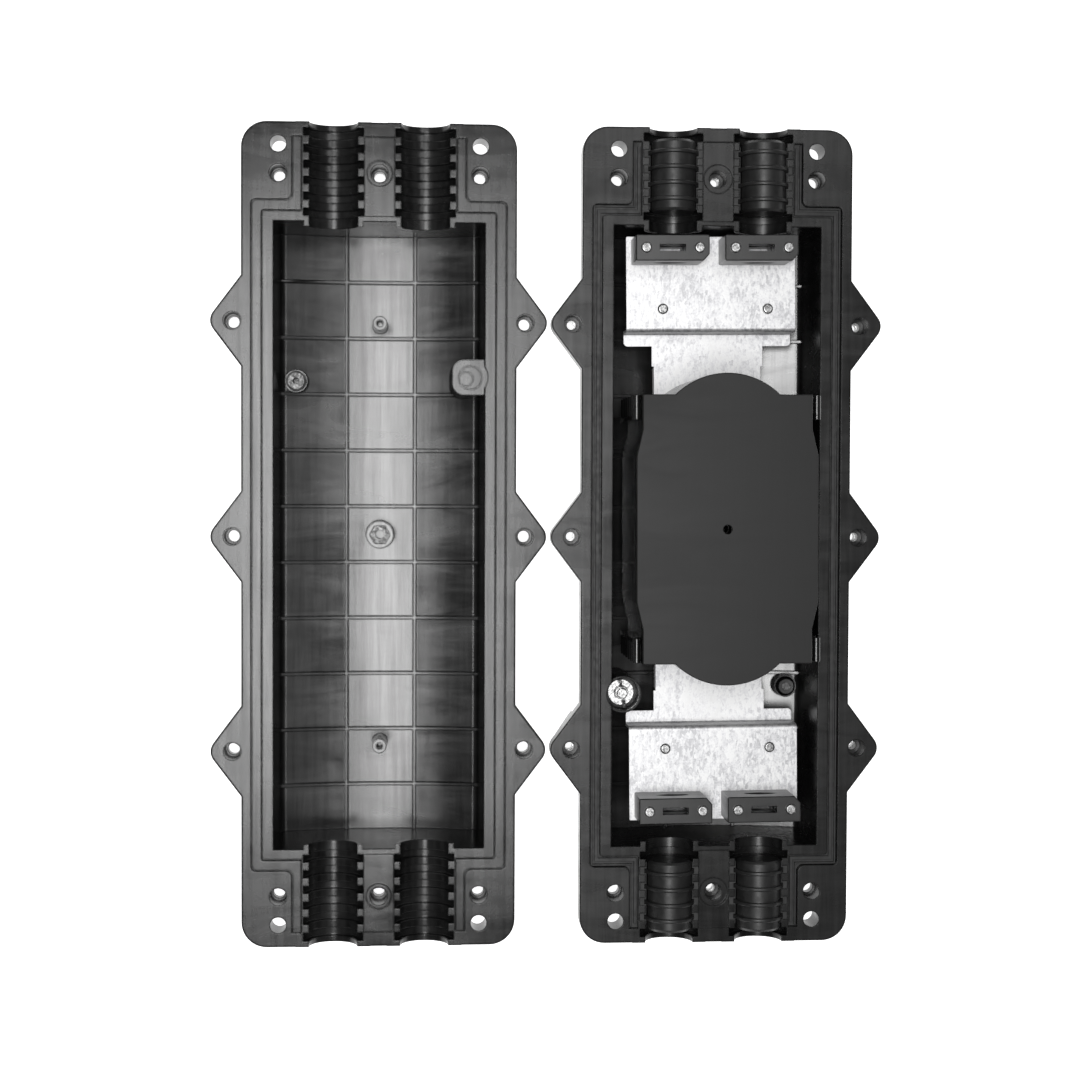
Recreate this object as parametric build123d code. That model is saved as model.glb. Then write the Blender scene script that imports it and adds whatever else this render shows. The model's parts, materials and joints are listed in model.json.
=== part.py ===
from build123d import *
import math
import os

os.makedirs("parts", exist_ok=True)

# ---------------------------------------------------------------- driving dimensions (mm)
# Row frame: X across the two halves, Y along the closure, Z up from the table.
# The lid lies at x < 0 and the base at x > 0, both with their flange face up.
FLANGE_Z = 60.0          # flange face above the table, half of the closed height
HALF_X = 94.87           # from the middle line to the middle of each half

# half shell
BODY_W, BODY_L, BODY_R = 153.0, 460.0, 14.3   # flange plate outline
FLANGE_T = 12.0
EDGE_R = 0.8                                  # rounding of the flange's outer edge
OPEN_W, OPEN_L = 117.2, 350.0                 # mouth of the box
WALL = 4.2
FLOOR_EDGE_Z, FLOOR_MID_Z = -49.0, -55.8      # arched floor, inside
RIB_H, RIB_W = 3.0, 1.7
RIB_XS = (-19.4, 20.2)
RIB_Y0, RIB_PITCH = 16.3, 32.55

# ears
EAR_X, EAR_PITCH = 81.5, 119.85
EAR_HALF, EAR_TIP_X, EAR_TIP_R = 25.3, 93.5, 8.0
EAR_DEPTH = 34.0
POCKET_R, POCKET_Z = 5.6, -20.0                # ears are hollow from the back
BORE_R, BORE_DEPTH = 4.8, 13.0                # wide part of each stepped bolt hole
LID_BOLT_R, BASE_BOLT_R = 3.2, 2.6

# end holes
END_X, END_Y1, END_Y2 = 56.1, 201.6, 217.6
END_PLAIN_R = 4.45

# cable ports
PORT_X = 25.5
TOOTH_R, NOTCH_R, NECK_R = 13.5, 16.7, 20.9
PLUG_R, BEAD_R = 12.4, 14.0
NOTCHES = [(3.2, 7.9), (12.5, 16.9), (21.2, 25.6), (30.0, 34.4), (38.8, 43.2), (47.6, 51.9)]

# flange seal: groove in the base, land on the lid
SEAL_X1, SEAL_X2 = 64.95, 70.75
SEAL_Y1, SEAL_Y2 = 180.7, 186.8
SEAL_P1, SEAL_P2, SEAL_YT = 43.0, 48.15, 222.0
GROOVE_DEPTH, LAND_H, LAND_INSET = 4.5, 1.5, 0.3

# bosses in the box, in the lid's own axes
POST_Y, POST_R = 121.3, 4.25
BASE_POST_Y = 123.0
BOSS_X, BOSS_Y, BOSS_HALF = 50.6, 89.4, 10.0
VALVE_X, VALVE_Y = -48.0, 88.4
CUP_X, CUP_Y, CUP_R = 52.2, 88.8, 10.4

# bracket, placed a little off the base's middle and turned, as it lies
BRK_X, BRK_Y, BRK_TURN = 0.5, 4.3, 0.65
SHEET = 1.5
STRIP_Z, PLATE_Z = -33.0, -17.5               # top faces below the flange
STRIP_HW, STRIP_NECK_HW = 32.4, 31.2
WING_Y0, RISER_Y, PLATE_Y1 = 105.6, 114.3, 167.0
PLATE_HW = 48.7

# cable clamps on the end plates
CLAMP_X, CLAMP_Y = 25.1, 158.1
CLAMP_L, CLAMP_W = 41.4, 14.6
CLAMP_SPLIT_Z, CLAMP_TOP_Z = -5.3, 6.8
CLAMP_SCREW = 15.0
SM_SCREW_X, SM_SCREW_Y = (-27.9, 32.5), 125.9

# trays
TRAY_X, TRAY_Y, TRAY_TURN = 0.3, 5.5, 0.3
TRAYS, TRAY_PITCH, TRAY_H = 6, 11.8, 10.8
TRAY_Z0 = STRIP_Z
TRAY_WALL = 1.5
BARREL_X, CATCH_X, BARREL_Z, BARREL_R = 48.9, 51.0, 2.6, 2.2
BARREL_Y0, BARREL_Y1 = 62.6, 73.4
ARM_Y0, ARM_Y1 = 60.2, 62.5
PIN_R = 1.0
COVER_T = 1.7


# ---------------------------------------------------------------- helpers
def box(x0, x1, y0, y1, z0, z1):
    return Pos((x0 + x1) / 2, (y0 + y1) / 2, (z0 + z1) / 2) * Box(abs(x1 - x0), abs(y1 - y0), abs(z1 - z0))


def vcyl(x, y, z0, z1, r):
    return Pos(x, y, (z0 + z1) / 2) * Cylinder(r, abs(z1 - z0))


def ycyl(x, z, y0, y1, r):
    return Pos(x, (y0 + y1) / 2, z) * Rot(90, 0, 0) * Cylinder(r, abs(y1 - y0))


def vcone(x, y, z0, z1, r0, r1):
    return Pos(x, y, (z0 + z1) / 2) * Cone(r0, r1, z1 - z0)


def prism(points, z0, z1):
    face = make_face(Polyline(*[(x, y, z0) for x, y in points], close=True))
    return extrude(face, amount=z1 - z0, dir=(0, 0, 1))


def along_y(edges, y0, y1):
    return Pos(0, y0, 0) * extrude(make_face(edges), amount=y1 - y0, dir=(0, 1, 0))


def turned_ring(x, y, z0, z1, r_out, r_in):
    return vcyl(x, y, z0, z1, r_out) - vcyl(x, y, z0 - 1, z1 + 1, r_in)


def one(shape):
    """The largest solid of a result, as a plain solid."""
    s = shape.solids()
    return max(s, key=lambda q: q.volume)


def write(name, shape):
    solids = shape.solids()
    shape = Compound(children=list(solids)) if len(solids) > 1 else solids[0]
    export_step(shape, f"parts/{name}.step")


def place(shape, x, y, turn, z=FLANGE_Z):
    return Pos(HALF_X + x, y, z) * Rot(0, 0, turn) * shape


# ---------------------------------------------------------------- half shell
def box_profile(hw_top, hw_low, z_low, corner, edge_z, mid_z, top=0.0):
    """Closed section of the box across X: drafted side walls, small corner, arched floor."""
    c = corner
    k = c * (1 - math.sqrt(0.5))
    a = (hw_top, 0, top)
    b = (hw_low, 0, z_low)
    d = (hw_low - c, 0, edge_z)
    m = (hw_low - k, 0, z_low - (z_low - edge_z) * (1 - (1 - math.sqrt(0.5))))
    def mir(p):
        return (-p[0], p[1], p[2])
    return [
        Line(mir(a), a), Line(a, b), ThreePointArc(b, m, d), ThreePointArc(d, (0, 0, mid_z), mir(d)),
        ThreePointArc(mir(d), mir(m), mir(b)), Line(mir(b), mir(a)),
    ]


def ear_outline(sx, yc, inset=0.0, x_root=60.0):
    """Rounded triangle: straight flanks tangent to the tip round."""
    r = EAR_TIP_R - inset
    cx = EAR_TIP_X - EAR_TIP_R
    px, py = BODY_W / 2, EAR_HALF - inset
    d = math.hypot(px - cx, py)
    base = math.atan2(py, px - cx)
    ang = base - math.acos(r / d)
    t = (cx + r * math.cos(ang), r * math.sin(ang))
    def q(x, y):
        return (sx * x, yc + y, 0)
    return make_face([
        Line(q(x_root, -py), q(px, -py)), Line(q(px, -py), q(t[0], -t[1])),
        ThreePointArc(q(t[0], -t[1]), q(EAR_TIP_X - inset, 0), q(*t)),
        Line(q(*t), q(px, py)), Line(q(px, py), q(x_root, py)), Line(q(x_root, py), q(x_root, -py)),
    ])


def seal_run(sx, i_in, i_out, z0, z1):
    """C-shaped run of the flange seal on one side, set in from its inner and outer edges."""
    x1, x2 = SEAL_X1 + i_in, SEAL_X2 - i_out
    y1, y2 = SEAL_Y1 + i_in, SEAL_Y2 - i_out
    p1, p2 = SEAL_P1 + i_in, SEAL_P2 - i_out
    yt = SEAL_YT - max(i_out, 0.0)
    pts = [(x1, -y1), (x1, y1), (p1, y1), (p1, yt), (p2, yt), (p2, y2), (x2, y2),
           (x2, -y2), (p2, -y2), (p2, -yt), (p1, -yt), (p1, -y1)]
    run = prism([(sx * x, y) for x, y in pts], z0, z1)
    for r, corner in ((3.0, (x2, y2)), (1.6, (x1, y1)), (3.6, (p2, y2))):
        picked = [e for e in run.edges().filter_by(Axis.Z)
                  if abs(abs(e.center().X) - corner[0]) < 0.01 and abs(abs(e.center().Y) - corner[1]) < 0.01]
        run = fillet(picked, r)
    return run


def half_shell(lid):
    """One half in its own axes, flange face at z = 0 and the box below it."""
    outline = RectangleRounded(BODY_W, BODY_L, BODY_R)
    for sx in (-1, 1):
        for n in (-1, 0, 1):
            outline += ear_outline(sx, n * EAR_PITCH)
    s = extrude(outline, amount=-FLANGE_T)
    s = fillet(s.faces().sort_by(Axis.Z)[-1].outer_wire().edges(), EDGE_R)
    s += along_y(box_profile(62.9, 61.4, -46.5, 6.5, -53.2, -60.4), -OPEN_L / 2 - WALL, OPEN_L / 2 + WALL)
    for sx in (-1, 1):
        # runners on the back, on which the half rests
        s += box(sx * 35.0, sx * 46.0, -174.0, 174.0, -60.0, -54.6)
        for sy in (-1, 1):
            s += ycyl(sx * PORT_X, 0, sy * (OPEN_L / 2 - 2.7), sy * (OPEN_L / 2 + 6), NOTCH_R - 0.2)
            s += ycyl(sx * PORT_X, 0, sy * (OPEN_L / 2 + 2), sy * BODY_L / 2, NECK_R)
            s += vcyl(sx * END_X, sy * END_Y1, -19.0, -1.0, 8.6)
            s += vcyl(sx * END_X, sy * END_Y2, -19.0, -1.0, 8.2)
        for n in (-1, 0, 1):
            yc = n * EAR_PITCH
            col = extrude(ear_outline(sx, yc, 3.2), amount=-EAR_DEPTH)
            s += col & box(sx * 60.0, sx * 95.0, yc - 17.8, yc + 17.8, -EAR_DEPTH, -1.0)
    for y in (-114.0, -57.0, 0.0, 57.0, 114.0):
        s += box(-46.0, 46.0, y - 3.0, y + 3.0, -60.0, -56.6)
    for sy in (-1, 1):
        s += box(-PORT_X, PORT_X, sy * (OPEN_L / 2 + 2), sy * (BODY_L / 2 - 4), -13.5, -1.0)
        s += vcyl(0, sy * END_Y1, -21.0, -1.0, 9.8)
    s = s & box(-100, 100, -240, 240, -60.0, 0.0)

    # the box, with drafted end walls
    hollow = along_y(box_profile(58.6, 57.2, -46.0, 3.0, FLOOR_EDGE_Z, FLOOR_MID_Z, 0.0), -OPEN_L / 2, OPEN_L / 2)
    hollow += box(-58.6, 58.6, -OPEN_L / 2, OPEN_L / 2, -0.01, 1.0)
    mouth = extrude(Pos(0, 0, -0.5) * Rectangle(OPEN_W - 0.2, OPEN_L - 0.2), amount=0.8, taper=-45)
    draft = extrude(Pos(0, 0, 1.0) * Rectangle(300, OPEN_L + 0.07), amount=-66, taper=2.0)
    hollow = hollow & draft
    s -= hollow
    s -= mouth
    # ribs: a grid cut to a band that follows the floor
    raised = along_y(box_profile(60.0, 60.0, -42.5, 2.0, FLOOR_EDGE_Z + RIB_H, FLOOR_MID_Z + RIB_H, 1.0), -200, 200)
    grid = None
    for sx in (-1, 1):
        rx = RIB_XS[0] if sx < 0 else RIB_XS[1]
        b = box(rx - RIB_W / 2, rx + RIB_W / 2, -OPEN_L / 2 - 1, OPEN_L / 2 + 1, -58.0, -40.0)
        grid = b if grid is None else grid + b
        for k in range(5):
            y = sx * (RIB_Y0 + k * RIB_PITCH)
            grid += box(-59.0, 59.0, y - RIB_W / 2, y + RIB_W / 2, -58.0, -40.0)
    # the ribs end inside the tub's wall
    within = along_y(box_profile(62.2, 60.8, -46.2, 6.2, -52.8, -59.8), -177.0, 177.0)
    s += (grid & within) - raised

    # inner end lips of the ports
    for sx in (-1, 1):
        for sy in (-1, 1):
            lip = ycyl(sx * PORT_X, 0, sy * (OPEN_L / 2 - 2.7), sy * (OPEN_L / 2 + 1), NOTCH_R - 0.2)
            s += lip & box(-60, 60, -240, 240, -20, 0)
            s -= ycyl(sx * PORT_X, 0, sy * (OPEN_L / 2 - 6), sy * (BODY_L / 2 + 1), TOOTH_R)
            for a, b in NOTCHES:
                s -= ycyl(sx * PORT_X, 0, sy * (BODY_L / 2 - a), sy * (BODY_L / 2 - b), NOTCH_R)

    # posts and bosses on the floor
    post_top = -30.0
    post_y, post_r = (POST_Y, POST_R) if lid else (BASE_POST_Y, 3.3)
    for sy in (-1, 1):
        s += vcyl(0, sy * post_y, -56.5, post_top, post_r)
        s -= vcyl(0, sy * post_y, post_top - 14.0, post_top + 1, 1.8 if lid else 1.2)
    boss_top = -43.0 if lid else STRIP_Z - SHEET
    s += vcyl(0, 0, -57.0, boss_top, 8.0)
    if lid:
        s -= extrude(Pos(0, 0, -50.0) * RegularPolygon(5.75, 6), amount=8.0)
    else:
        s -= vcyl(0, 0, -52.0, boss_top + 1, 4.8)
    s += vcyl(VALVE_X, VALVE_Y, -53.5, -40.0, 6.5)
    s -= vcyl(VALVE_X, VALVE_Y, -50.5, -39.0, 5.7)
    s -= vcyl(VALVE_X, VALVE_Y, -61.0, -48.0, 3.1)

    # in the side wall: a plain square boss in the lid, the round earthing cup in the base
    if lid:
        rise = extrude(Pos(0, 0, -54.0) * Pos(BOSS_X + 2.2, BOSS_Y) * RectangleRounded(2 * BOSS_HALF + 4.4, 2 * BOSS_HALF, 6.5), amount=54.0 - 1.5)
        s += rise & box(38.0, 61.5, 70.0, 110.0, -54.0, -1.5)
        s -= vcyl(BOSS_X, BOSS_Y, -1.5, 1.0, BOSS_HALF)
        s -= turned_ring(BOSS_X + 0.2, BOSS_Y - 0.3, -1.75, -1.0, 6.7, 6.3)
        s -= turned_ring(BOSS_X - 2.2, BOSS_Y - 1.0, -1.75, -1.0, 4.2, 3.8)
    else:
        s += vcyl(CUP_X, CUP_Y, -54.0, -1.5, CUP_R)
        s -= vcyl(CUP_X, CUP_Y, -16.0, 1.0, 9.3)
        s -= vcyl(CUP_X, CUP_Y, -36.0, -15.0, 3.02)

    # bolt holes
    bolt_r = LID_BOLT_R if lid else BASE_BOLT_R
    for n in (-1, 0, 1):
        for sx in (-1, 1):
            x, y = sx * EAR_X, n * EAR_PITCH
            s -= vcyl(x, y, -BORE_DEPTH, 1, BORE_R) + vcyl(x, y, -EAR_DEPTH - 1, 0, bolt_r)
            if lid:
                s -= vcyl(x, y, -EAR_DEPTH - 1, POCKET_Z, POCKET_R)
            else:
                s -= vcyl(x, y, -EAR_DEPTH - 1, POCKET_Z - 4.6, POCKET_R)
                s -= extrude(Pos(x, y, POCKET_Z - 5.0) * RegularPolygon(4.65, 6), amount=5.0)
    for sy in (-1, 1):
        for sx in (-1, 1):
            s -= vcyl(sx * END_X, sy * END_Y2, -25, 1, END_PLAIN_R)
            s -= vcyl(sx * END_X, sy * END_Y1, -BORE_DEPTH, 1, BORE_R) + vcyl(sx * END_X, sy * END_Y1, -25, 0, LID_BOLT_R)
        if lid:
            pad = box(-8.4, 8.4, sy * 178.0, sy * 221.8, -0.5, 0.6)
            for px in (-PORT_X, PORT_X):
                pad -= ycyl(px, 0, sy * 175, sy * 225, NOTCH_R + 0.25)
            s += pad
            s += vcyl(0, sy * END_Y1, -1.0, 1.4, 7.1)
        else:
            rec = box(-8.75, 8.75, sy * 177.7, sy * 222.1, -0.8, 1.0)
            s -= rec
            s -= vcyl(0, sy * END_Y1, -1.8, 1.0, 8.1)
        s -= vcyl(0, sy * END_Y1, -BORE_DEPTH, 3, BORE_R) + vcyl(0, sy * END_Y1, -25, 0, bolt_r)
        if not lid:
            s -= extrude(Pos(0, sy * END_Y1, -22.0) * RegularPolygon(4.65, 6), amount=5.5)

    # seal land or groove
    for sx in (-1, 1):
        if lid:
            s -= seal_run(sx, -0.05, -0.35, -0.9, 1.0)
            s += seal_run(sx, LAND_INSET, LAND_INSET, -1.2, LAND_H)
        else:
            s -= seal_run(sx, 0, 0, -GROOVE_DEPTH, 1.0)
    return one(s)


lid_half = half_shell(True)
base_half = half_shell(False)
lid_shell = Pos(-HALF_X, 0, FLANGE_Z) * lid_half
write("lid_shell", lid_shell)
base_shell = Pos(HALF_X, 0, FLANGE_Z) * Rot(0, 0, 180) * base_half
write("base_shell", base_shell)


def in_base(shape):
    """From the base's own turned axes into the row frame."""
    return Pos(HALF_X, 0, FLANGE_Z) * Rot(0, 0, 180) * shape


def in_lid(shape):
    return Pos(-HALF_X, 0, FLANGE_Z) * shape


# ---------------------------------------------------------------- lid fittings
def hex_nut(x, y, z0, z1, r_in, r_hex):
    n = extrude(Pos(x, y, z0) * RegularPolygon(r_hex, 6), amount=z1 - z0)
    return n - vcyl(x, y, z0 - 1, z1 + 1, r_in)


write("lid_centre_insert", in_lid(hex_nut(0, 0, -50.0, -43.3, 2.6, 5.7)))
stem = vcyl(VALVE_X, VALVE_Y, -59.0, -40.0, 3.0) + vcyl(VALVE_X, VALVE_Y, -41.0, -36.0, 4.7)
stem -= vcyl(VALVE_X, VALVE_Y, -48.0, -30.0, 1.9)
stem += vcyl(VALVE_X, VALVE_Y, -50.0, -47.0, 4.6)
write("lid_valve_stem", in_lid(one(stem)))
seal = turned_ring(VALVE_X, VALVE_Y, -50.5, -37.0, 5.65, 4.75) - vcyl(VALVE_X, VALVE_Y, -51, -46.9, 4.75)
write("lid_valve_seal", in_lid(one(seal)))

# ---------------------------------------------------------------- base fittings
nuts = []
for n in (-1, 0, 1):
    for sx in (-1, 1):
        nuts.append(in_base(hex_nut(sx * EAR_X, n * EAR_PITCH, POCKET_Z - 4.5, POCKET_Z - 0.1, 2.15, 4.6)))
for sy in (-1, 1):
    nuts.append(in_base(hex_nut(0, sy * END_Y1, -21.0, -16.6, 2.15, 4.6)))
write("captive_nuts", Compound(children=[one(q) for q in nuts]))

insert = vcyl(0, 0, -51.9, -37.6, 4.75) - vcyl(0, 0, -52.0, -37, 2.1)
write("base_centre_insert", in_base(insert))



def seal_ridge(sx, x1, x2, y1, y2, p1, p2, yt):
    """Raised bead along the gasket's back."""
    pts = [(x1, -y1), (x1, y1), (p1, y1), (p1, yt), (p2, yt), (p2, y2), (x2, y2), (x2, -y2), (p2, -y2), (p2, -yt), (p1, -yt), (p1, -y1)]
    return prism([(sx * x, y) for x, y in pts], -3.5, -1.75)


for name, sx in (("gasket_left", -1), ("gasket_right", 1)):
    g = seal_run(sx, 0.1, 0.1, -4.45, -3.3)
    g += seal_ridge(sx, SEAL_X2 - 1.5, SEAL_X2 - 0.6, SEAL_Y2 - 1.5, SEAL_Y2 - 0.6, SEAL_P2 - 1.5, SEAL_P2 - 0.6, SEAL_YT - 0.8)
    g += seal_ridge(sx, SEAL_X1 + 1.2, SEAL_X1 + 3.1, SEAL_Y1 + 1.2, SEAL_Y1 + 3.1, SEAL_P1 + 1.0, SEAL_P1 + 2.5, SEAL_YT - 2.6)
    write(name, Pos(HALF_X, 0, FLANGE_Z) * one(g))

# earthing stud in its cup
stud = vcyl(CUP_X, CUP_Y, -35.9, -6.2, 3.0)
stud += vcone(CUP_X, CUP_Y, -6.2, -5.6, 3.0, 2.5)
write("earth_stud", in_base(one(stud)))
write("earth_seal_washer", in_base(turned_ring(CUP_X, CUP_Y, -16.0, -14.6, 8.9, 3.05)))
write("earth_washer", in_base(turned_ring(CUP_X, CUP_Y, -14.6, -13.3, 7.2, 3.05)))
wing = Face(Wire(Polyline((2.2, 0, 0.4), (4.6, 0, 1.2), (7.0, 0, 3.2), (8.3, 0, 6.0), (8.2, 0, 7.4), (6.6, 0, 8.0), (5.2, 0, 6.8), (4.4, 0, 4.6), (2.2, 0, 3.6), close=True).edges()))
blade = Pos(0, -0.95, 0) * extrude(wing, amount=1.9, dir=(0, 1, 0))
nut = vcone(0, 0, 0, 4.6, 4.2, 3.5) + blade + Rot(0, 0, 180) * blade
nut = nut - vcyl(0, 0, -1, 6, 3.06)
write("wing_nut", Pos(HALF_X - CUP_X, -CUP_Y, FLANGE_Z - 13.25) * Rot(0, 0, 100.7) * one(nut))

body = vcyl(VALVE_X, VALVE_Y, -50.45, -44.0, 5.6) + vcone(VALVE_X, VALVE_Y, -44.0, -37.0, 5.6, 4.3)
body += vcyl(VALVE_X, VALVE_Y, -58.5, -50.0, 3.0)
body -= vcyl(VALVE_X, VALVE_Y, -52.0, -30.0, 2.4)
write("base_valve_body", in_base(one(body)))
core = vcyl(VALVE_X, VALVE_Y, -51.9, -37.4, 2.35) - turned_ring(VALVE_X, VALVE_Y, -38.6, -36.0, 1.7, 0.8)
write("base_valve_core", in_base(one(core)))


# ---------------------------------------------------------------- port plugs and liners
def port_set(sx, sy):
    e = BODY_L / 2
    rings = [sum(n) / 2 for n in NOTCHES[1:5]]
    plug = ycyl(0, 0, sy * (e - 9.4), sy * (e - 46.1), PLUG_R)
    plug += Pos(0, sy * (e - 8.7), 0) * Rot(-90 * sy, 0, 0) * Cone(PLUG_R, PLUG_R - 1.0, 1.4)
    plug += Pos(0, sy * (e - 46.8), 0) * Rot(90 * sy, 0, 0) * Cone(PLUG_R, PLUG_R - 1.0, 1.4)
    for m in rings:
        bead = ycyl(0, 0, sy * (e - m - 1.1), sy * (e - m + 1.1), BEAD_R)
        plug += fillet(bead.edges().filter_by(GeomType.CIRCLE), 0.7)
    plug -= ycyl(0, 0, sy * (e - 12.0), sy * (e - 7.0), 7.5) - ycyl(0, 0, sy * (e - 13.0), sy * (e - 7.0), 5.9)
    liner = ycyl(0, 0, sy * (e - 10.5), sy * (e - 46.0), 13.42)
    for a, b in NOTCHES[1:5]:
        liner += ycyl(0, 0, sy * (e - a - 0.08), sy * (e - b + 0.08), 16.62)
    liner -= ycyl(0, 0, sy * (e - 5), sy * (e - 50), 13.0)
    for m in rings:
        liner -= ycyl(0, 0, sy * (e - m - 1.3), sy * (e - m + 1.3), BEAD_R + 0.15)
    liner = liner & box(-20, 20, -240, 240, -20, 0)
    # the centre pad beside the port lies a little lower than the flange
    liner -= box(-sx * PORT_X - 8.75, -sx * PORT_X + 8.75, sy * 177.7, sy * 222.1, -0.8, 1.0)
    return Pos(sx * PORT_X, 0, 0) * one(plug), Pos(sx * PORT_X, 0, 0) * one(liner)


for sx in (-1, 1):
    for sy in (-1, 1):
        tag = ("left" if sx < 0 else "right") + ("_top" if sy > 0 else "_bottom")
        p, l = port_set(sx, sy)
        write("port_plug_" + tag, Pos(HALF_X, 0, FLANGE_Z) * p)
        write("port_liner_" + tag, Pos(HALF_X, 0, FLANGE_Z) * l)


# ---------------------------------------------------------------- bracket
def bracket():
    t = SHEET
    top, low = PLATE_Z, STRIP_Z
    ro, ri = 2.6, 1.1

    def side(sy):
        # section in Y and Z of the strip end, the riser and the end plate, with bend radii
        y_in, y_out = RISER_Y - t, RISER_Y
        k = math.sqrt(0.5)
        P = lambda y, z: (0, sy * y, z)
        e = [
            Line(P(90, low - t), P(y_out - ro, low - t)),
            ThreePointArc(P(y_out - ro, low - t), P(y_out - ro + ro * k, low - t + ro - ro * k), P(y_out, low - t + ro)),
            Line(P(y_out, low - t + ro), P(y_out, top - t - ri)),
            ThreePointArc(P(y_out, top - t - ri), P(y_out + ri - ri * k, top - t - ri + ri * k), P(y_out + ri, top - t)),
            Line(P(y_out + ri, top - t), P(PLATE_Y1, top - t)),
            Line(P(PLATE_Y1, top - t), P(PLATE_Y1, top)),
            Line(P(PLATE_Y1, top), P(y_in + ro, top)),
            ThreePointArc(P(y_in + ro, top), P(y_in + ro - ro * k, top - ro + ro * k), P(y_in, top - ro)),
            Line(P(y_in, top - ro), P(y_in, low + ri)),
            ThreePointArc(P(y_in, low + ri), P(y_in - ri + ri * k, low + ri - ri * k), P(y_in - ri, low)),
            Line(P(y_in - ri, low), P(90, low)),
            Line(P(90, low), P(90, low - t)),
        ]
        f = make_face(e)
        return Pos(-60, 0, 0) * extrude(f, amount=120, dir=(1, 0, 0))

    plan = None
    for sy in (-1, 1):
        end = Pos(0, sy * (WING_Y0 + PLATE_Y1) / 2) * Rectangle(2 * PLATE_HW, PLATE_Y1 - WING_Y0)
        near = sorted(end.vertices(), key=lambda v: abs(v.Y))
        end = fillet(near[:2], 2.5)
        far = sorted(end.vertices(), key=lambda v: abs(v.Y))[-2:]
        end = fillet(far, 0.8)
        plan = end if plan is None else plan + end
    plan += Rectangle(2 * STRIP_HW, 2 * WING_Y0 + 4)
    mask = extrude(Pos(0, 0, -40) * plan, amount=30)
    b = (side(1) + side(-1)) & mask
    b += box(-STRIP_HW, STRIP_HW, -95, 95, low - t, low)
    # the strip is narrower between its down-turned side flanges
    for sx in (-1, 1):
        b -= box(sx * STRIP_NECK_HW, sx * 40, -94, 94, low - 5, low + 5)
        fl = box(sx * (STRIP_NECK_HW - t), sx * STRIP_NECK_HW, -93, 93, low - 7.0, low - 0.5)
        b += fl
    for sx in (-1, 1):
        for sy in (-1, 1):
            for q in (-CLAMP_SCREW, CLAMP_SCREW):
                b -= vcyl(sx * CLAMP_X + q, sy * CLAMP_Y, top - 5, top + 5, 1.6)
    for x in SM_SCREW_X:
        for sy in (-1, 1):
            b -= vcyl(x, sy * SM_SCREW_Y, top - 5, top + 5, 1.8)
    return one(b)


brk = place(bracket(), BRK_X, BRK_Y, BRK_TURN)
brk -= Pos(HALF_X, 0, FLANGE_Z) * (vcone(0, 0, STRIP_Z - SHEET - 1.6, STRIP_Z + 0.001, 2.5, 4.75))
write("tray_bracket", one(brk))
screw = vcone(0, 0, STRIP_Z - 2.9, STRIP_Z - 0.1, 2.0, 4.55) + vcyl(0, 0, -49.0, STRIP_Z - 2.0, 2.05)
screw -= Pos(0, 0, STRIP_Z) * Box(5.0, 0.9, 2.4) + Pos(0, 0, STRIP_Z) * Box(0.9, 5.0, 2.4)
write("bracket_screw", Pos(HALF_X, 0, FLANGE_Z) * one(screw))


def pan_screw(r_head, h_head, r, length):
    """Cross-recess pan-head screw, head on z = 0, shank down."""
    s = Cylinder(r_head, h_head, align=(Align.CENTER, Align.CENTER, Align.MIN))
    s = fillet(s.edges().filter_by(GeomType.CIRCLE).sort_by(Axis.Z)[-1:], h_head * 0.42)
    for a in (0, 90):
        s -= Pos(0, 0, h_head) * Rot(0, 0, a) * Box(r_head * 1.05, 0.8, 2.0)
    s += Pos(0, 0, -length) * Cylinder(r, length + 0.2, align=(Align.CENTER, Align.CENTER, Align.MIN))
    return one(s)


sm = []
for x in SM_SCREW_X:
    for sy in (-1, 1):
        sm.append(place(Pos(x, sy * SM_SCREW_Y, PLATE_Z) * pan_screw(2.95, 2.3, 1.75, 9.0), BRK_X, BRK_Y, BRK_TURN))
write("strength_member_screws", Compound(children=sm))


# ---------------------------------------------------------------- cable clamps
def clamp_bars(sx, sy):
    """Lower and upper bar at the clamp's place, in the bracket's axes."""
    cx, cy = sx * CLAMP_X, sy * CLAMP_Y
    hl, hw = CLAMP_L / 2, CLAMP_W / 2
    # the right-hand corner towards the middle of the closure is cut off
    cx_cut, cy_cut = 3.3, 3.8
    if sy > 0:
        plan = [(-hl, -hw), (hl - cx_cut, -hw), (hl, -hw + cy_cut), (hl, hw), (-hl, hw)]
    else:
        plan = [(-hl, -hw), (hl, -hw), (hl, hw - cy_cut), (hl - cx_cut, hw), (-hl, hw)]
    sol = prism(plan, PLATE_Z, CLAMP_TOP_Z)
    sol = fillet(sol.edges().filter_by(Axis.Z), 0.8)
    sol = chamfer(sol.faces().sort_by(Axis.Z)[-1].edges(), 0.5)
    R, dip = 16.0, 3.4
    sol -= box(-7.35, 7.35, -1.95, 1.95, -40, 40)
    for q in (-CLAMP_SCREW, CLAMP_SCREW):
        sol -= vcyl(q, 0, -40, 40, 1.65)
    low = sol & box(-30, 30, -20, 20, PLATE_Z, CLAMP_SPLIT_Z)
    up = sol & box(-30, 30, -20, 20, CLAMP_SPLIT_Z + 0.04, 20)
    low -= ycyl(0, CLAMP_SPLIT_Z + R - dip, -20, 20, R)
    up -= ycyl(0, CLAMP_SPLIT_Z - R + dip, -20, 20, R)
    at = Pos(cx, cy, 0)
    return at * one(low), at * one(up)


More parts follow.
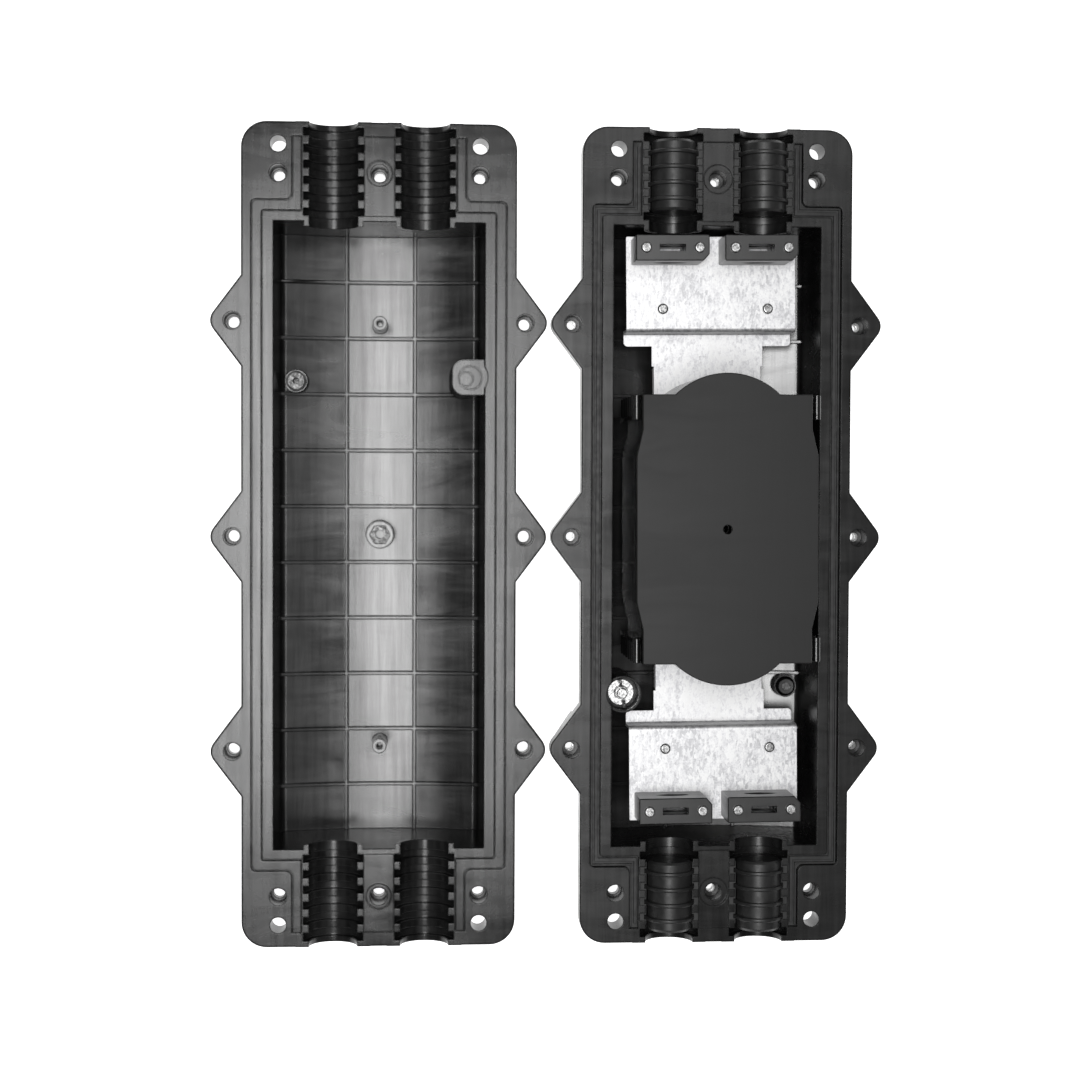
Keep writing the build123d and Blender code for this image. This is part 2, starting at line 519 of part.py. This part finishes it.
CORNERS = [(-1, 1, "left_top"), (1, 1, "right_top"), (-1, -1, "left_bottom"), (1, -1, "right_bottom")]
for sx, sy, tag in CORNERS:
    low, up = clamp_bars(sx, sy)
    write("clamp_bar_" + tag, place(low, BRK_X, BRK_Y, BRK_TURN))
    write("clamp_jaw_" + tag, place(up, BRK_X, BRK_Y, BRK_TURN))
    pair = [place(Pos(sx * CLAMP_X + q, sy * CLAMP_Y, CLAMP_TOP_Z) * Rot(0, 0, 20 * q) * pan_screw(2.95, 2.0, 1.45, 28.5), BRK_X, BRK_Y, BRK_TURN)
            for q in (-CLAMP_SCREW, CLAMP_SCREW)]
    write("clamp_screws_" + tag, Compound(children=pair))


# ---------------------------------------------------------------- splice trays
def tray_plan():
    p = Rectangle(93.2, 147.2)
    p += make_face(Polyline((-50.0, -40), (-46.6, -54.6), (46.6, -54.6), (50.0, -40), (50.0, 40), (46.6, 54.6), (-46.6, 54.6), (-50.0, 40), close=True))
    p += Pos(0, 44.4) * Circle(41.0) + Pos(0, -44.4) * Circle(41.0)
    return p


PLAN = tray_plan()
INNER = offset(PLAN, amount=-TRAY_WALL)


def tray(k):
    """Tray k (1 lowest), its underside on z = 0."""
    t = extrude(PLAN, amount=TRAY_H) - Pos(0, 0, 1.5) * extrude(INNER, amount=TRAY_H)
    for sy in (-1, 1):
        t += turned_ring(0, sy * 47.5, 1.0, 8.8, 18.0, 16.4)
        for a in (30, 150, 270):
            # fibre keepers on the spools
            t += Pos(0, sy * 47.5, 8.4) * Rot(0, 0, a * sy) * Pos(19.4, 0, 0) * Box(6.0, 5.0, 0.8)
        for sx in (-1, 1):
            # fibre gates in the end walls
            t -= box(sx * 33.5, sx * 42.0, sy * 70.0, sy * 76.0, 3.2, 12.0)
            t += Pos(sx * 43.6, sy * 30.0, 9.6) * Box(9.0, 6.0, 0.8)
    t += vcyl(0, 0, 1.0, 9.5, 4.4)
    t -= vcyl(0, 0, -1.0, 20.0, 2.6)
    for sx in (-1, 1):
        for sy in (-1, 1):
            bx = BARREL_X if sx < 0 else CATCH_X
            b = ycyl(sx * bx, BARREL_Z, sy * BARREL_Y0, sy * BARREL_Y1, BARREL_R)
            b += box(sx * 45.8, sx * bx, sy * BARREL_Y0, sy * BARREL_Y1, 0, 2.0)
            t += b
            if sx < 0 and k > 1:
                t -= ycyl(sx * bx, BARREL_Z, sy * (BARREL_Y0 - 1), sy * (BARREL_Y1 + 1), PIN_R + 0.02)
            if k < TRAYS:
                # arm that carries the next tray's hinge
                zc = TRAY_PITCH + BARREL_Z
                z0 = 0.0 if k == 1 else 6.0
                w = BARREL_R - 0.02
                a = box(sx * (bx - w), sx * (bx + w), sy * ARM_Y0, sy * ARM_Y1, z0, zc)
                a += box(sx * 45.8, sx * bx, sy * ARM_Y0, sy * ARM_Y1, z0, TRAY_H)
                a += ycyl(sx * bx, zc, sy * ARM_Y0, sy * ARM_Y1, w)
                if sx < 0:
                    a -= ycyl(sx * bx, zc, sy * (ARM_Y0 - 1), sy * (ARM_Y1 + 1), PIN_R + 0.06)
                t += a
    return one(t)


def splice_holder():
    h = box(-27.0, 27.0, -20.0, 20.0, 1.5, 2.5)
    for sx in (-1, 1):
        for i in range(6):
            x = sx * (6.6 + i * 4.0)
            h += box(x - 0.6, x + 0.6, -20.0, -12.0, 2.0, 7.5) + box(x - 0.6, x + 0.6, 12.0, 20.0, 2.0, 7.5)
            h += box(x - 0.6, x + 0.6, -4.0, 4.0, 2.0, 6.5) if i else box(x - 0.6, x + 0.6, -1, 1, 2.0, 2.4)
    h -= vcyl(0, 0, 0, 20, 4.5)
    return one(h)


holder = splice_holder()
for k in range(1, TRAYS + 1):
    z = FLANGE_Z + TRAY_Z0 + (k - 1) * TRAY_PITCH
    write(f"tray_{k}", place(tray(k), TRAY_X, TRAY_Y, TRAY_TURN, z))
    write(f"splice_holder_{k}", place(holder, TRAY_X, TRAY_Y, TRAY_TURN, z))
    if k > 1:
        pins = [place(ycyl(-BARREL_X, BARREL_Z, sy * (ARM_Y0 + 0.1), sy * (BARREL_Y1 - 0.2), PIN_R), TRAY_X, TRAY_Y, TRAY_TURN, z) for sy in (-1, 1)]
        write(f"tray_pins_{k}", Compound(children=pins))

z = FLANGE_Z + TRAY_Z0 + (TRAYS - 1) * TRAY_PITCH + TRAY_H
cover = extrude(PLAN, amount=COVER_T) - vcyl(0, 0, -1, 5, 2.6)
cover = chamfer(cover.faces().sort_by(Axis.Z)[-1].outer_wire().edges(), 0.4)
write("tray_cover", place(cover, TRAY_X, TRAY_Y, TRAY_TURN, z + 0.02))
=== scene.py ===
import json
import math

import bpy
from mathutils import Euler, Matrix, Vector

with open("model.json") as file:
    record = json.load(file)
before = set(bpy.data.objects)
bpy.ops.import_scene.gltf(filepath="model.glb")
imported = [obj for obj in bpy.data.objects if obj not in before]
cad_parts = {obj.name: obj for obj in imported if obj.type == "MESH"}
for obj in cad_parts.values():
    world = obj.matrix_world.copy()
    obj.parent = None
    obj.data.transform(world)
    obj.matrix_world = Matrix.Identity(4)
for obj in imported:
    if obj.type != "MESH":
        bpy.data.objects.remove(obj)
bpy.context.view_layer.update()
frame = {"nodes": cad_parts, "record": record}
scene = bpy.context.scene
nodes = frame["nodes"]

for name, o in nodes.items():
    for p in o.data.polygons:
        p.use_smooth = True
    m = o.modifiers.new("sharp_edges", "EDGE_SPLIT")
    m.split_angle = math.radians(32)
    m.use_edge_sharp = False


# ---------------------------------------------------------------- node helpers
class Graph:
    """A small wrapper to build a material's nodes."""

    def __init__(self, name):
        self.mat = bpy.data.materials.new(name)
        self.mat.use_nodes = True
        self.nt = self.mat.node_tree
        self.nt.nodes.clear()
        self.out = self.nt.nodes.new("ShaderNodeOutputMaterial")
        self.bsdf = self.nt.nodes.new("ShaderNodeBsdfPrincipled")
        self.nt.links.new(self.bsdf.outputs[0], self.out.inputs[0])
        self.coord = self.nt.nodes.new("ShaderNodeTexCoord").outputs["Object"]

    def link(self, a, b):
        self.nt.links.new(a, b)

    def mapped(self, scale, rot=(0, 0, 0)):
        n = self.nt.nodes.new("ShaderNodeMapping")
        n.inputs["Scale"].default_value = scale
        n.inputs["Rotation"].default_value = rot
        self.link(self.coord, n.inputs["Vector"])
        return n.outputs[0]

    def noise(self, scale, detail=3.0, rough=0.5, stretch=None, distortion=0.0):
        n = self.nt.nodes.new("ShaderNodeTexNoise")
        n.inputs["Scale"].default_value = scale
        n.inputs["Detail"].default_value = detail
        n.inputs["Roughness"].default_value = rough
        n.inputs["Distortion"].default_value = distortion
        self.link(self.mapped(stretch) if stretch else self.coord, n.inputs["Vector"])
        return n.outputs["Fac"]

    def voronoi(self, scale, feature="F1", stretch=None):
        n = self.nt.nodes.new("ShaderNodeTexVoronoi")
        n.feature = feature
        n.inputs["Scale"].default_value = scale
        self.link(self.mapped(stretch) if stretch else self.coord, n.inputs["Vector"])
        return n.outputs["Distance"], n.outputs.get("Color")

    def ramp(self, fac, stops, interp="LINEAR"):
        n = self.nt.nodes.new("ShaderNodeValToRGB")
        n.color_ramp.interpolation = interp
        e = n.color_ramp.elements
        while len(e) < len(stops):
            e.new(0.5)
        for el, (pos, col) in zip(e, stops):
            el.position = pos
            el.color = (col, col, col, 1) if isinstance(col, (int, float)) else (*col, 1)
        self.link(fac, n.inputs[0])
        return n.outputs[0]

    def mix(self, fac, a, b, blend="MIX"):
        n = self.nt.nodes.new("ShaderNodeMix")
        n.data_type = "RGBA"
        n.blend_type = blend
        for sock, v in ((n.inputs[0], fac), (n.inputs[6], a), (n.inputs[7], b)):
            if isinstance(v, (int, float)):
                sock.default_value = v if sock == n.inputs[0] else (v, v, v, 1)
            elif isinstance(v, tuple):
                sock.default_value = (*v, 1)
            else:
                self.link(v, sock)
        return n.outputs[2]

    def math(self, op, a, b=0.0, clamp=False):
        n = self.nt.nodes.new("ShaderNodeMath")
        n.operation = op
        n.use_clamp = clamp
        for sock, v in ((n.inputs[0], a), (n.inputs[1], b)):
            if isinstance(v, (int, float)):
                sock.default_value = v
            else:
                self.link(v, sock)
        return n.outputs[0]

    def range(self, v, lo, hi, to_lo, to_hi):
        n = self.nt.nodes.new("ShaderNodeMapRange")
        for i, x in enumerate((lo, hi, to_lo, to_hi), 1):
            n.inputs[i].default_value = x
        self.link(v, n.inputs[0])
        return n.outputs[0]

    def bump(self, height, strength, distance, normal=None):
        n = self.nt.nodes.new("ShaderNodeBump")
        n.inputs["Strength"].default_value = strength
        n.inputs["Distance"].default_value = distance
        self.link(height, n.inputs["Height"])
        if normal is not None:
            self.link(normal, n.inputs["Normal"])
        return n.outputs[0]

    def edge(self, radius, samples=4):
        """1 on convex edges, 0 on flats, and the rounded normal."""
        b = self.nt.nodes.new("ShaderNodeBevel")
        b.samples = samples
        b.inputs["Radius"].default_value = radius
        g = self.nt.nodes.new("ShaderNodeNewGeometry")
        d = self.nt.nodes.new("ShaderNodeVectorMath")
        d.operation = "DOT_PRODUCT"
        self.link(b.outputs[0], d.inputs[0])
        self.link(g.outputs["True Normal"], d.inputs[1])
        worn = self.range(d.outputs["Value"], 0.99, 0.72, 0.0, 1.0)
        self.bent = self.range(d.outputs["Value"], 0.9995, 0.96, 0.0, 1.0)
        return worn, b.outputs[0]


def moulded(name, dark, light, rough=(0.30, 0.44), flow=0.6, worn=None, bevel=0.0005, grain=900.0, grain_depth=0.00003, spec=0.5, deep_spec=None):
    """Moulded thermoplastic: flow streaks, cloudy gloss, fine tool grain, paler rubbed edges."""
    g = Graph(name)
    cloud = g.noise(14.0, 4.0, 0.6, distortion=0.6)
    streak = g.noise(60.0, 5.0, 0.65, stretch=(5.0, 0.25, 1.0), distortion=0.3)
    smear = g.noise(26.0, 4.0, 0.6, stretch=(0.5, 2.2, 1.0), distortion=1.2)
    tone = g.mix(flow, cloud, streak)
    tone = g.mix(0.35, tone, smear)
    col = g.ramp(tone, [(0.36, dark), (0.66, light)])
    edge, normal = g.edge(bevel)
    if worn is not None:
        patchy = g.ramp(g.noise(35.0, 4.0, 0.6), [(0.42, 0.0), (0.62, 1.0)])
        col = g.mix(g.math("MULTIPLY", g.math("MULTIPLY", edge, patchy), 0.55), col, (worn,) * 3)
    g.link(col, g.bsdf.inputs["Base Color"])
    g.link(g.range(g.mix(0.5, cloud, smear), 0.35, 0.65, *rough), g.bsdf.inputs["Roughness"])
    h = g.noise(grain, 2.0, 0.5)
    n = g.bump(h, 0.4, grain_depth, normal)
    n = g.bump(g.noise(22.0, 2.0, 0.4), 0.25, 0.0003, n)
    g.link(n, g.bsdf.inputs["Normal"])
    g.bsdf.inputs["Specular IOR Level"].default_value = spec
    if deep_spec is not None:
        # the inside of the box is polished, the flange is matt; both a little uneven
        xyz = g.nt.nodes.new("ShaderNodeSeparateXYZ")
        g.link(g.coord, xyz.inputs[0])
        by_depth = g.range(xyz.outputs["Z"], 0.020, 0.055, deep_spec, spec)
        uneven = g.range(tone, 0.32, 0.68, 0.60, 1.40)
        # painted shade: the feet of the ribs and the corners, the deeper ones more, lose their specular so they
        # read as dark shade lines
        rib_foot_painted_shade = g.math("MULTIPLY", g.bent, g.range(xyz.outputs["Z"], 0.020, 0.055, 0.92, 0.45))
        level = g.math("MULTIPLY", by_depth, uneven)
        g.link(g.math("MULTIPLY", level, g.math("SUBTRACT", 1.0, rib_foot_painted_shade)), g.bsdf.inputs["Specular IOR Level"])
    return g.mat


def rubber(name, dark, light, rough=(0.48, 0.62)):
    g = Graph(name)
    bloom = g.noise(55.0, 5.0, 0.65, distortion=0.5)
    g.link(g.ramp(bloom, [(0.38, dark), (0.70, light)]), g.bsdf.inputs["Base Color"])
    g.link(g.range(g.noise(300.0, 3.0), 0.35, 0.65, *rough), g.bsdf.inputs["Roughness"])
    edge, normal = g.edge(0.0004)
    g.link(g.bump(g.noise(1600.0, 2.0), 0.4, 0.00003, normal), g.bsdf.inputs["Normal"])
    g.bsdf.inputs["Specular IOR Level"].default_value = 0.45
    return g.mat


def galvanised(name):
    """Hot-dip sheet: spangle patches, fine sparkle, soft white reflection."""
    g = Graph(name)
    d, colour = g.voronoi(800.0, stretch=(1.0, 0.45, 1.0))
    sep = g.nt.nodes.new("ShaderNodeSeparateColor")
    g.link(colour, sep.inputs[0])
    spangle = sep.outputs[0]
    cloud = g.noise(45.0, 5.0, 0.65, distortion=0.8)
    fine = g.noise(900.0, 3.0, 0.7)
    tone = g.mix(0.75, spangle, cloud)
    tone = g.mix(0.35, tone, fine)
    g.link(g.ramp(tone, [(0.38, (0.36, 0.36, 0.37)), (0.48, (0.55, 0.55, 0.56)), (0.58, (0.68, 0.68, 0.68))]), g.bsdf.inputs["Base Color"])
    g.bsdf.inputs["Metallic"].default_value = 0.72
    g.link(g.range(tone, 0.3, 0.7, 0.42, 0.60), g.bsdf.inputs["Roughness"])
    edge, normal = g.edge(0.0004)
    n = g.bump(g.mix(0.5, spangle, fine), 0.35, 0.00006, normal)
    n = g.bump(cloud, 0.2, 0.0003, n)
    g.link(n, g.bsdf.inputs["Normal"])
    return g.mat


def zinc(name, rough=(0.18, 0.38), base=0.80, metallic=0.95):
    g = Graph(name)
    cloud = g.noise(620.0, 4.0, 0.7)
    g.link(g.ramp(cloud, [(0.40, base * 0.30), (0.58, base)]), g.bsdf.inputs["Base Color"])
    g.bsdf.inputs["Metallic"].default_value = metallic
    g.link(g.range(g.noise(700.0, 3.0), 0.35, 0.65, *rough), g.bsdf.inputs["Roughness"])
    edge, normal = g.edge(0.0002)
    g.link(g.bump(cloud, 0.25, 0.00005, normal), g.bsdf.inputs["Normal"])
    return g.mat


mats = {
    # lid_plastic and base_plastic are one moulded plastic; the base's darker colour values are painted shade for
    # the less lit base half
    "lid_plastic": moulded("lid_plastic", 0.004, 0.016, rough=(0.16, 0.30), worn=0.10, bevel=0.0012, spec=0.36, deep_spec=0.50),
    "base_plastic": moulded("base_plastic", 0.003, 0.011, rough=(0.20, 0.34), worn=0.07, bevel=0.0010, spec=0.30, deep_spec=0.8),
    "seal_rubber": rubber("seal_rubber", 0.006, 0.012),
    "liner_rubber": rubber("liner_rubber", 0.006, 0.018),
    "plug_rubber": rubber("plug_rubber", 0.008, 0.018, rough=(0.36, 0.5)),
    "galvanised_sheet": galvanised("galvanised_sheet"),
    "zinc_screw": zinc("zinc_screw", rough=(0.25, 0.45), base=0.42),
    "zinc_fitting": zinc("zinc_fitting", rough=(0.22, 0.40), base=0.50),
    "clamp_plastic": moulded("clamp_plastic", 0.005, 0.014, rough=(0.26, 0.38), worn=0.14, bevel=0.0004, flow=0.8),
    "tray_plastic": moulded("tray_plastic", 0.003, 0.006, rough=(0.16, 0.26), flow=0.3, bevel=0.0003, grain_depth=0.000012),
    "cover_plastic": moulded("cover_plastic", 0.008, 0.012, rough=(0.40, 0.52), flow=0.35, bevel=0.0004, grain=1400.0, spec=0.24),
    "holder_plastic": moulded("holder_plastic", 0.02, 0.03, flow=0.2),
    "valve_plastic": moulded("valve_plastic", 0.008, 0.014, rough=(0.2, 0.3), flow=0.2, bevel=0.0003),
    "pin_steel": zinc("pin_steel", rough=(0.15, 0.28)),
    "brass_insert": zinc("brass_insert", rough=(0.30, 0.45), base=0.12),
}
dull_zinc = zinc("dull_zinc", rough=(0.34, 0.50), base=0.10)
slot_of = {s["node"]: s["material_slot"] for s in frame["record"]["subparts"]}
for name, o in nodes.items():
    o.data.materials.clear()
    o.data.materials.append(dull_zinc if name in ("lid_valve_stem", "lid_centre_insert") else mats[slot_of[name]])

# ---------------------------------------------------------------- floor, light, camera
bpy.ops.mesh.primitive_plane_add(size=8.0, location=(0, 0, -0.0004))
floor = bpy.context.object
floor.name = "floor"
g = Graph("floor_white")
g.link(g.ramp(g.noise(3.0, 2.0), [(0.3, 0.90), (0.7, 0.92)]), g.bsdf.inputs["Base Color"])
g.bsdf.inputs["Roughness"].default_value = 0.9
g.bsdf.inputs["Specular IOR Level"].default_value = 0.1
g.bsdf.inputs["Emission Color"].default_value = (1, 1, 1, 1)
g.bsdf.inputs["Emission Strength"].default_value = 0.95
floor.data.materials.append(g.mat)

world = bpy.data.worlds.new("studio")
scene.world = world
world.use_nodes = True
bg = world.node_tree.nodes["Background"]
bg.inputs[0].default_value = (1, 1, 1, 1)
bg.inputs[1].default_value = 0.15


def softbox(name, loc, size, watts, look=(0, 0, 0.05), colour=(1, 1, 1)):
    d = bpy.data.lights.new(name, "AREA")
    d.shape = "RECTANGLE"
    d.size, d.size_y = size
    d.energy = watts
    d.color = colour
    o = bpy.data.objects.new(name, d)
    scene.collection.objects.link(o)
    o.location = loc
    aim = (o.location - Vector(look)).to_track_quat("Z", "Y")
    o.rotation_mode = "QUATERNION"
    o.rotation_quaternion = aim
    return o


softbox("over_lid", (-0.15, -0.035, 1.50), (0.40, 0.80), 18.0, look=(-0.15, -0.035, 0.05))
softbox("over_base", (0.40, 0.05, 1.50), (0.50, 1.20), 1.4, look=(0.40, 0.05, 0.05))
softbox("high_right", (0.30, 0.56, 1.40), (0.30, 0.20), 1.2, look=(0.12, 0.15, 0.05))

cam_data = bpy.data.cameras.new("camera")
cam = bpy.data.objects.new("camera", cam_data)
scene.collection.objects.link(cam)
scene.camera = cam
cam_data.sensor_fit = "HORIZONTAL"
cam_data.sensor_width = 36.0
cam_data.lens = 66.25
cam_data.clip_start, cam_data.clip_end = 0.05, 20.0
cam.location = (-0.08435, 0.03247, 1.17242)
cam.rotation_euler = Euler((-0.0308, -0.0712, 0.0039), "XYZ")

scene.view_settings.view_transform = "Standard"
scene.view_settings.look = "None"
scene.view_settings.exposure = 0.0
